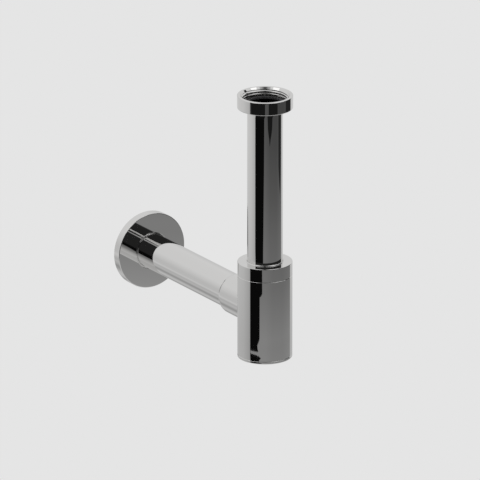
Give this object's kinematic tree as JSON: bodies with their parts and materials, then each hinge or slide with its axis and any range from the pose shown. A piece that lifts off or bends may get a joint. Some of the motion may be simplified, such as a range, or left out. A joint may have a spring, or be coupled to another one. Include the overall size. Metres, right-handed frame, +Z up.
{
  "type": "bottle trap",
  "caption": "Round chromed bottle trap: union nut on a down tube, flat cap, bottle with side outlet, wall tube and round wall rosette.",
  "frame": {"origin": "where the outlet tube's axis meets the wall plane, behind the rosette", "axes": "+Y runs into the wall along the outlet tube, +Z is up along the bottle and inlet tube, +X completes the frame"},
  "size_m": [0.071, 0.232, 0.2466],
  "materials": {
    "chrome": "polished chrome plate on brass",
    "rubber": "matt black rubber",
    "nylon": "plain off-white plastic"
  },
  "bodies": {
    "wall_tube": {"outlet_tube": "chrome"},
    "rosette": {"rosette": "chrome", "rosette_grip_ring": "rubber"},
    "socket_rings": {"socket_seal_inner": "rubber", "socket_seal_outer": "rubber"},
    "bottle": {"bottle_body": "chrome", "cap_seal": "rubber"},
    "plug_ring": {"plug_o_ring": "rubber"},
    "plug": {"bottom_plug": "chrome"},
    "cap_ring": {"cap_slip_ring": "nylon"},
    "cap": {"cap_nut": "chrome"},
    "inlet": {"inlet_tube": "chrome", "union_gasket": "rubber"},
    "union_ring": {"union_slip_ring": "nylon"},
    "union": {"union_nut": "chrome"}
  },
  "joints": [
    {"name": "rosette_slide", "type": "slide", "parent": "wall_tube", "child": "rosette", "axis": [0, 1, 0], "range_m": [-0.12, 0]},
    {"name": "socket_depth", "type": "slide", "parent": "wall_tube", "child": "socket_rings", "axis": [0, 1, 0], "range_m": [-0.004, 0.004]},
    {"name": "bottle_swivel", "type": "hinge", "parent": "socket_rings", "child": "bottle", "pos_m": [0, -0.15, 0], "axis": [0, 1, 0], "continuous": true},
    {"name": "plug_drop", "type": "slide", "parent": "bottle", "child": "plug_ring", "axis": [0, 0, -1], "range_m": [0, 0.006]},
    {"name": "plug_turn", "type": "hinge", "parent": "plug_ring", "child": "plug", "pos_m": [0, -0.195, -0.04], "axis": [0, 0, -1], "range_deg": [0, 1440]},
    {"name": "cap_lift", "type": "slide", "parent": "bottle", "child": "cap_ring", "axis": [0, 0, 1], "range_m": [0, 0.01]},
    {"name": "cap_turn", "type": "hinge", "parent": "cap_ring", "child": "cap", "pos_m": [0, -0.195, 0.04], "axis": [0, 0, 1], "range_deg": [0, 1800]},
    {"name": "inlet_height", "type": "slide", "parent": "bottle", "child": "inlet", "axis": [0, 0, 1], "range_m": [-0.01, 0.015]},
    {"name": "union_slide", "type": "slide", "parent": "inlet", "child": "union_ring", "axis": [0, 0, 1], "range_m": [-0.11, 0]},
    {"name": "union_spin", "type": "hinge", "parent": "union_ring", "child": "union", "pos_m": [0, -0.195, 0.19], "axis": [0, 0, 1], "continuous": true}
  ],
  "couplings": [
    {"joint": "plug_drop", "follows": "plug_turn", "m_per_rad": 0.00023873},
    {"joint": "cap_lift", "follows": "cap_turn", "m_per_rad": 0.00031831}
  ]
}
